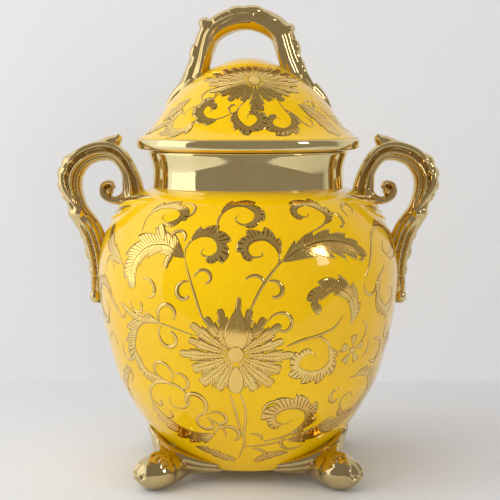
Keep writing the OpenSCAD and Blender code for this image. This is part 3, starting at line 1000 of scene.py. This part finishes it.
def belly_scrolls(gilt):
    """The stems, curls and leaves that fill one face of the bowl, from the left to the right."""
    # twin stems under the flower
    gilt.stroke([(-7, 72), (-5, 57), (-3, 41)])
    gilt.stroke([(-3, 73), (-1, 59), (-2, 41), (-2, 34), (-6, 21)])
    # left feather, on the stem that rises from the flower
    gilt.stroke([(-12, 114), (-16, 124), (-19, 141), (-23, 162)])
    feather = [(-23, 162), (-27, 166), (-31, 169), (-36, 169), (-41, 166), (-44, 161), (-46, 155),
               (-46, 147), (-45, 140)]
    gilt.leaf(feather, 11, 14.5, (5, 6), peak=0.42)
    gilt.leaf([(-28, 164), (-30, 159), (-30, 154)], 2.2, 2.2, lean=0)
    gilt.leaf([(-33, 172), (-35, 178), (-37, 182)], 2.6, 2.6, lean=0, peak=0.6)
    gilt.curl((-30, 169), 112, 24, -235, 1.1)
    # scroll leaf right of it
    gilt.scroll_leaf([(-23, 162), (-23, 168), (-21, 173), (-17, 176), (-13, 175), (-11, 171),
                      (-11, 166), (-14, 163), (-17, 165), (-16, 168)], 0.9, 9.5, 0.6, (5, 0),
                      (0.22, 0.85))
    # curls in the amber between the stems
    gilt.curl((-19, 150), 70, 22, -250, 1.0)
    gilt.curl((-21, 147), 175, 24, 250, 1.4)
    gilt.curl((-33, 118), 118, 31, -255, 1.2)
    gilt.curl((-40, 147), 10, 22, -190, 1.0)
    gilt.curl((-47, 131), 268, 22, 235, 1.1)
    # the C-shaped feather at the left
    hoop = gilt.stroke([(-20, 112), (-28, 116), (-33, 118), (-38, 118), (-42, 116), (-45, 111), (-47, 104),
                        (-48, 97), (-46, 90), (-44, 84), (-39, 81), (-33, 78)], 0.8)
    gilt.leaf(hoop, 0.6, 11, (0, 9), (0.26, 1.0), 0.35, 30)
    gilt.leaf([(-39, 118), (-46, 121), (-53, 128)], 2.4, 2.4, (2, 2), lean=20)
    gilt.curl((-33, 116), 235, 34, 300, 1.2)
    gilt.curl((-31, 79), 72, 36, 290, 1.0)
    gilt.curl((-30, 84), 20, 22, -215, 1.0)
    # lower left: the wide spiral, the band under it and the small hooks
    coil = gilt.stroke([(-17, 41), (-26, 39), (-35, 42), (-42, 49), (-46, 58), (-45, 68), (-41, 75),
                        (-36, 77), (-30, 76), (-26, 71), (-25, 65), (-28, 60), (-32, 59), (-35, 62),
                        (-34, 67)], 1.1)
    gilt.leaf(coil, 10.5, 3.0, (6, 0), (0.0, 0.38), 0.45, 20)
    gilt.curl((-43, 53), -55, 16, 190, 0.9)
    gilt.curl((-45, 62), -70, 13, 200, 0.8)
    gilt.curl((-21, 55), 35, 36, 255, 1.4)
    gilt.curl((-19, 57), 190, 34, 330, 1.1)
    gilt.curl((-18, 56), 50, 26, -250, 1.0)
    gilt.curl((-19, 54), -20, 22, -80, 0.8)
    gilt.curl((-17, 40), 78, 34, -235, 1.2)
    gilt.leaf([(-31, 29), (-24, 27), (-16, 23), (-8, 20)], 5.5, 4.5, (4, 4))
    gilt.leaf([(24, 25), (18, 25), (11, 23), (4, 19)], 4.5, 5.0, (4, 4))
    # left edge, towards the handle
    gilt.stroke([(-50, 124), (-53, 118), (-60, 128), (-65, 137)], 1.0)
    gilt.leaf([(-52, 154), (-60, 161), (-66, 168), (-71, 178)], 6.5, 7.5, (3, 3))
    gilt.stroke([(-46, 140), (-52, 154)], 0.6)
    edge = gilt.stroke([(-53, 118), (-58, 128), (-63, 136), (-70, 138), (-74, 130), (-73, 119), (-68, 114),
                        (-64, 120), (-66, 127)], 1.2)
    gilt.leaf(edge, 0.5, 8.0, (0, 4), (0.2, 0.85), 0.5, 20)
    gilt.curl((-58, 150), 100, 24, 220, 1.0)
    gilt.curl((-57, 98), 250, 22, 230, 1.0)
    gilt.curl((-62, 96), 80, 20, 200, 0.9)
    gilt.leaf([(-55, 82), (-61, 76), (-66, 66), (-66, 56)], 5.0, 5.5, (3, 3))
    gilt.curl((-58, 72), 20, 20, 210, 1.1)
    # lower right: hook, scroll leaf and the feather that runs out to the foot
    gilt.curl((11, 53), 160, 32, -275, 1.2)
    gilt.scroll_leaf([(8, 36), (18, 39), (24, 44), (27, 51), (25, 58), (20, 61), (15, 60), (12, 56),
                      (13, 51), (17, 49), (20, 52)], 0.9, 0.6, 11.5, (0, 7), (0.2, 0.9), 0.6, 15)
    gilt.stroke([(-2, 32), (8, 33), (16, 35), (22, 37)], 0.9)
    gilt.leaf([(20, 36), (30, 37), (38, 40), (48, 43), (60, 48)], 12, 9.0, (4, 5))
    gilt.curl((1, 42), 15, 12, -120, 0.9)
    gilt.curl((2, 30), 5, 16, -120, 1.0)
    gilt.curl((31, 30), 215, 34, -230, 1.0)
    # right of the flower
    gilt.curl((7, 122), 62, 34, -285, 1.1)
    gilt.scroll_leaf([(14, 105), (20, 109), (26, 110), (30, 106), (32, 98), (32, 91), (29, 87),
                      (25, 86), (21, 88), (19, 92), (21, 98), (25, 99), (26, 96)], 0.9, 9.5, 0.6,
                      (7, 0), (0.38, 0.94), 0.5, 15)
    gilt.stroke([(0, 126), (4, 142), (9, 155), (14, 163)], 0.9)
    gilt.leaf([(12, 160), (19, 168), (25, 171), (31, 172), (37, 170.5), (43, 167), (49, 161)], 10, 17,
              (6, 5), peak=0.40, blunt=1.5)
    gilt.curl((44, 167), -8, 16, -200, 1.2)
    gilt.scroll_leaf([(9, 155), (11, 160), (11, 166), (9, 171), (6, 174), (2, 173), (0, 170), (0, 166),
                      (2, 163), (5, 164), (5, 167)], 0.9, 0.6, 9.0, (0, 5), (0.2, 0.84))
    gilt.curl((7, 148), 15, 22, -230, 1.3)
    gilt.curl((-1, 149), 45, 17, -150, 1.0)
    # mid right leaf and its stem
    gilt.stroke([(14, 105), (21, 109), (28, 112), (33, 116), (36, 123)], 0.9)
    gilt.leaf([(40, 116), (41, 124), (40, 132), (36, 139), (31, 142), (26, 139), (24, 134), (26, 126)],
              7.0, 10.0, (4, 6), peak=0.45)
    gilt.curl((46, 143), 265, 18, 160, 1.0)
    # small flower and sprigs
    for k in range(5):
        gilt.petal((43, 98), 18 + 72 * k, 1.5, 10, 4.0, 0, 0)
    gilt.blob((43, 98), 2.2)
    gilt.stroke([(32, 101), (36, 98), (40, 98)], 0.6)
    gilt.curl((47, 102), 40, 20, 130, 0.8)
    gilt.curl((52, 103), 300, 14, -110, 0.8)
    gilt.curl((56, 102), 15, 38, -250, 1.4)
    gilt.scroll_leaf([(45, 78), (52, 78), (59, 75), (63, 67), (62, 59), (57, 53), (50, 52), (45, 57),
                      (44, 63), (48, 67), (51, 63)], 0.9, 10.5, 0.6, (6, 0), (0.05, 0.75))
    gilt.curl((40, 72), 190, 20, 230, 1.2)
    # right edge, towards the handle
    gilt.stroke([(46, 146), (50, 156), (53, 166), (56, 175)], 1.0)
    gilt.scroll_leaf([(53, 166), (57, 175), (63, 178), (70, 175), (73, 167), (70, 160), (65, 158),
                      (61, 162), (63, 168)], 1.2, 7.5, 0.5, (5, 0), (0.2, 0.8))
    gilt.scroll_leaf([(60, 152), (56, 144), (56, 132), (61, 124), (67, 127), (67, 135), (62, 137)], 1.2,
                      0.5, 8.0, (0, 4), (0.1, 0.8))
    gilt.curl((66, 112), 240, 24, 220, 1.3)
    gilt.curl((70, 90), 100, 26, -220, 1.3)
    gilt.curl((58, 118), 60, 20, -210, 1.2)


def shoulder_scrolls(gilt):
    """The row of scrolls under the neck, on one face."""
    gilt.scroll_leaf([(-11, 176), (-12, 185), (-10, 191), (-6, 194), (-1, 194), (3, 190), (2, 185),
                      (-2, 183), (-5, 186), (-4, 189)], 0.9, 7.0, 0.6, (4, 0), (0.25, 0.82))
    gilt.curl((-30, 195), 20, 28, -290, 0.9)
    gilt.scroll_leaf([(-45, 176), (-46, 184), (-44, 189), (-39, 192), (-33, 192), (-29, 189),
                      (-30, 185), (-34, 183), (-37, 185), (-37, 188)], 0.8, 7.0, 0.6, (4, 0),
                      (0.2, 0.88))
    gilt.scroll_leaf([(25, 178), (31, 182), (34, 187), (32, 191), (28, 194), (24, 194), (21, 192),
                      (21, 189), (24, 187), (26, 189)], 0.9, 0.6, 7.5, (0, 4), (0.2, 0.9))
    gilt.curl((34, 187), 40, 24, -230, 1.0)
    gilt.curl((46, 186), 130, 26, -300, 0.9)


def lid_scrolls(gilt):
    """A half lotus that hangs from the crown of the lid, over scrolls along the rim."""
    centre = (6, 276)
    lotus(gilt, centre, ((180, 29, 5.4), (162, 22, 5.0), (145, 26, 5.4), (130, 26, 5.4), (116, 32, 5.6),
                         (103, 32, 5.4), (92, 39, 5.6), (80, 34, 5.0), (66, 29, 4.8), (50, 24, 4.4),
                         (33, 20, 4.0), (14, 19, 4.0)))
    gilt.blob(centre, 4.0)
    gilt.scroll_leaf([(1, 264), (-5, 259), (-7, 254), (-5, 249), (0, 245), (4, 247), (6, 250), (4, 253),
                      (0, 253), (0, 250)], 0.6, 0.5, 8.4, (0, 6), (0.25, 0.92))
    gilt.scroll_leaf([(-8, 255), (-14, 252), (-20, 250), (-26, 251), (-30, 255), (-28, 259), (-24, 257),
                      (-25, 254)], 0.6, 9.0, 0.5, (5, 0), (0.3, 0.94))
    gilt.curl((-10, 254), 155, 11, -200, 0.7)
    gilt.stroke([(-22, 267), (-31, 261), (-40, 258), (-46, 253)], 0.6)
    gilt.curl((-31, 261), 160, 26, -280, 0.7)
    gilt.scroll_leaf([(-34, 249), (-37, 245), (-43, 243), (-49, 245), (-51, 250), (-47, 254),
                      (-42, 252)], 0.6, 10.5, 0.5, (5, 0), (0.0, 0.86))
    gilt.leaf([(-46, 264), (-55, 257), (-64, 249)], 5.5, 5.0, (3, 3))
    gilt.leaf([(-56, 247), (-64, 244), (-73, 240)], 5.0, 4.0, (3, 3))
    gilt.scroll_leaf([(21, 263), (24, 257), (27, 252), (26, 247), (21, 244), (16, 245), (14, 248),
                      (17, 251), (20, 250)], 0.6, 8.6, 0.5, (5, 0), (0.25, 0.94))
    gilt.stroke([(24, 257), (30, 253), (34, 248), (38, 245), (41, 248), (37, 252)], 0.6)
    gilt.leaf([(36, 260), (44, 255), (50, 249), (56, 239)], 9.5, 8.5, (4, 4))
    gilt.curl((41, 257), 95, 22, -290, 0.7)
    gilt.stroke([(52, 262), (60, 255), (68, 247), (76, 241)], 0.6)
    gilt.curl((64, 250), 60, 14, -200, 0.7)


def make_gilding():
    for name, turn in (("front", 0), ("back", 180)):
        gilt = Gilding(BOWL, turn)
        big_lotus(gilt)
        belly_scrolls(gilt)
        shoulder_scrolls(gilt)
        gilt.finish(name + "_belly_gilding", "jar")
        gilt = Gilding(DOME, turn)
        lid_scrolls(gilt)
        gilt.finish(name + "_lid_gilding", "lid")


# ---------------------------------------------------------------- stage, lights and camera

def make_stage():
    """A plain pale floor that ends in front of the jar, as a table top does, and a plain pale wall
    that can be seen through from behind."""
    wall_y = 0.29
    edge_y = -0.32
    floor = new_object("stage_floor", [(-3, edge_y, 0), (3, edge_y, 0), (3, 3, 0), (-3, 3, 0)],
                       [[0, 1, 2, 3]], [])
    floor.data.materials.append(material("stage_floor", (0.76, 0.77, 0.79), Roughness=0.6)[0])
    wall = new_object("stage_wall", [(-3, wall_y, 0), (3, wall_y, 0), (3, wall_y, 2), (-3, wall_y, 2)],
                      [[0, 1, 2, 3]], [])
    m, tree, shader = material("stage_wall", (0.80, 0.82, 0.86), Roughness=0.9)
    clear = node(tree, "ShaderNodeBsdfTransparent")
    mix = node(tree, "ShaderNodeMixShader")
    tree.links.new(node(tree, "ShaderNodeNewGeometry").outputs["Backfacing"], mix.inputs["Fac"])
    tree.links.new(shader.outputs[0], mix.inputs[1])
    tree.links.new(clear.outputs[0], mix.inputs[2])
    tree.links.new(mix.outputs[0], tree.nodes["Material Output"].inputs["Surface"])
    wall.data.materials.append(m)


def soft_light(name, place, target, width, height, power, color=(1, 1, 1)):
    data = bpy.data.lights.new(name, "AREA")
    data.shape = "RECTANGLE"
    data.size, data.size_y = width, height
    data.energy = power
    data.color = color
    o = bpy.data.objects.new(name, data)
    o.location = place
    o.rotation_euler = (Vector(target) - Vector(place)).to_track_quat("-Z", "Y").to_euler()
    bpy.context.collection.objects.link(o)
    return o


def make_lights():
    middle = (0, 0, 0.17)
    soft_light("window_left", (-1.50, -0.20, 0.55), middle, 1.1, 1.7, 7.5, (0.92, 0.96, 1.0))
    soft_light("window_right", (1.25, -0.80, 0.70), middle, 0.26, 0.42, 3, (1.0, 0.93, 0.84))
    beside = soft_light("beside", (-1.30, -0.90, 0.80), middle, 1.5, 1.4, 10, (0.94, 0.97, 1.0))
    ceiling = soft_light("ceiling", (-0.5, -0.4, 1.5), middle, 1.6, 1.4, 9)
    fill = soft_light("fill", (0.45, -1.4, 0.34), middle, 1.2, 0.8, 6, (1.0, 0.97, 0.92))
    for light in (ceiling, fill, beside):
        light.visible_glossy = False
    make_surround()


def make_surround():
    """The even, dim grey of a studio, the same for every ray."""
    world = bpy.data.worlds.new("studio")
    bpy.context.scene.world = world
    world.use_nodes = True
    even = world.node_tree.nodes["Background"]
    even.inputs["Color"].default_value = (0.88, 0.81, 0.73, 1)
    even.inputs["Strength"].default_value = 0.32


def make_camera():
    data = bpy.data.cameras.new("camera")
    data.sensor_width = 36
    data.lens = 93.6
    o = bpy.data.objects.new("camera", data)
    o.location = (0.0013, -0.924, 0.2563)
    o.rotation_euler = (math.radians(90 - 6.16), 0, 0)
    bpy.context.collection.objects.link(o)
    bpy.context.scene.camera = o
    bpy.context.scene.view_settings.view_transform = "Standard"


make_camera()
make_stage()
make_lights()
make_bowl()
make_neck()
make_dome()
make_rim()
make_flange()
make_side_handles()
make_root_leaves()
make_lid_handle()
make_feet()
make_gilding()
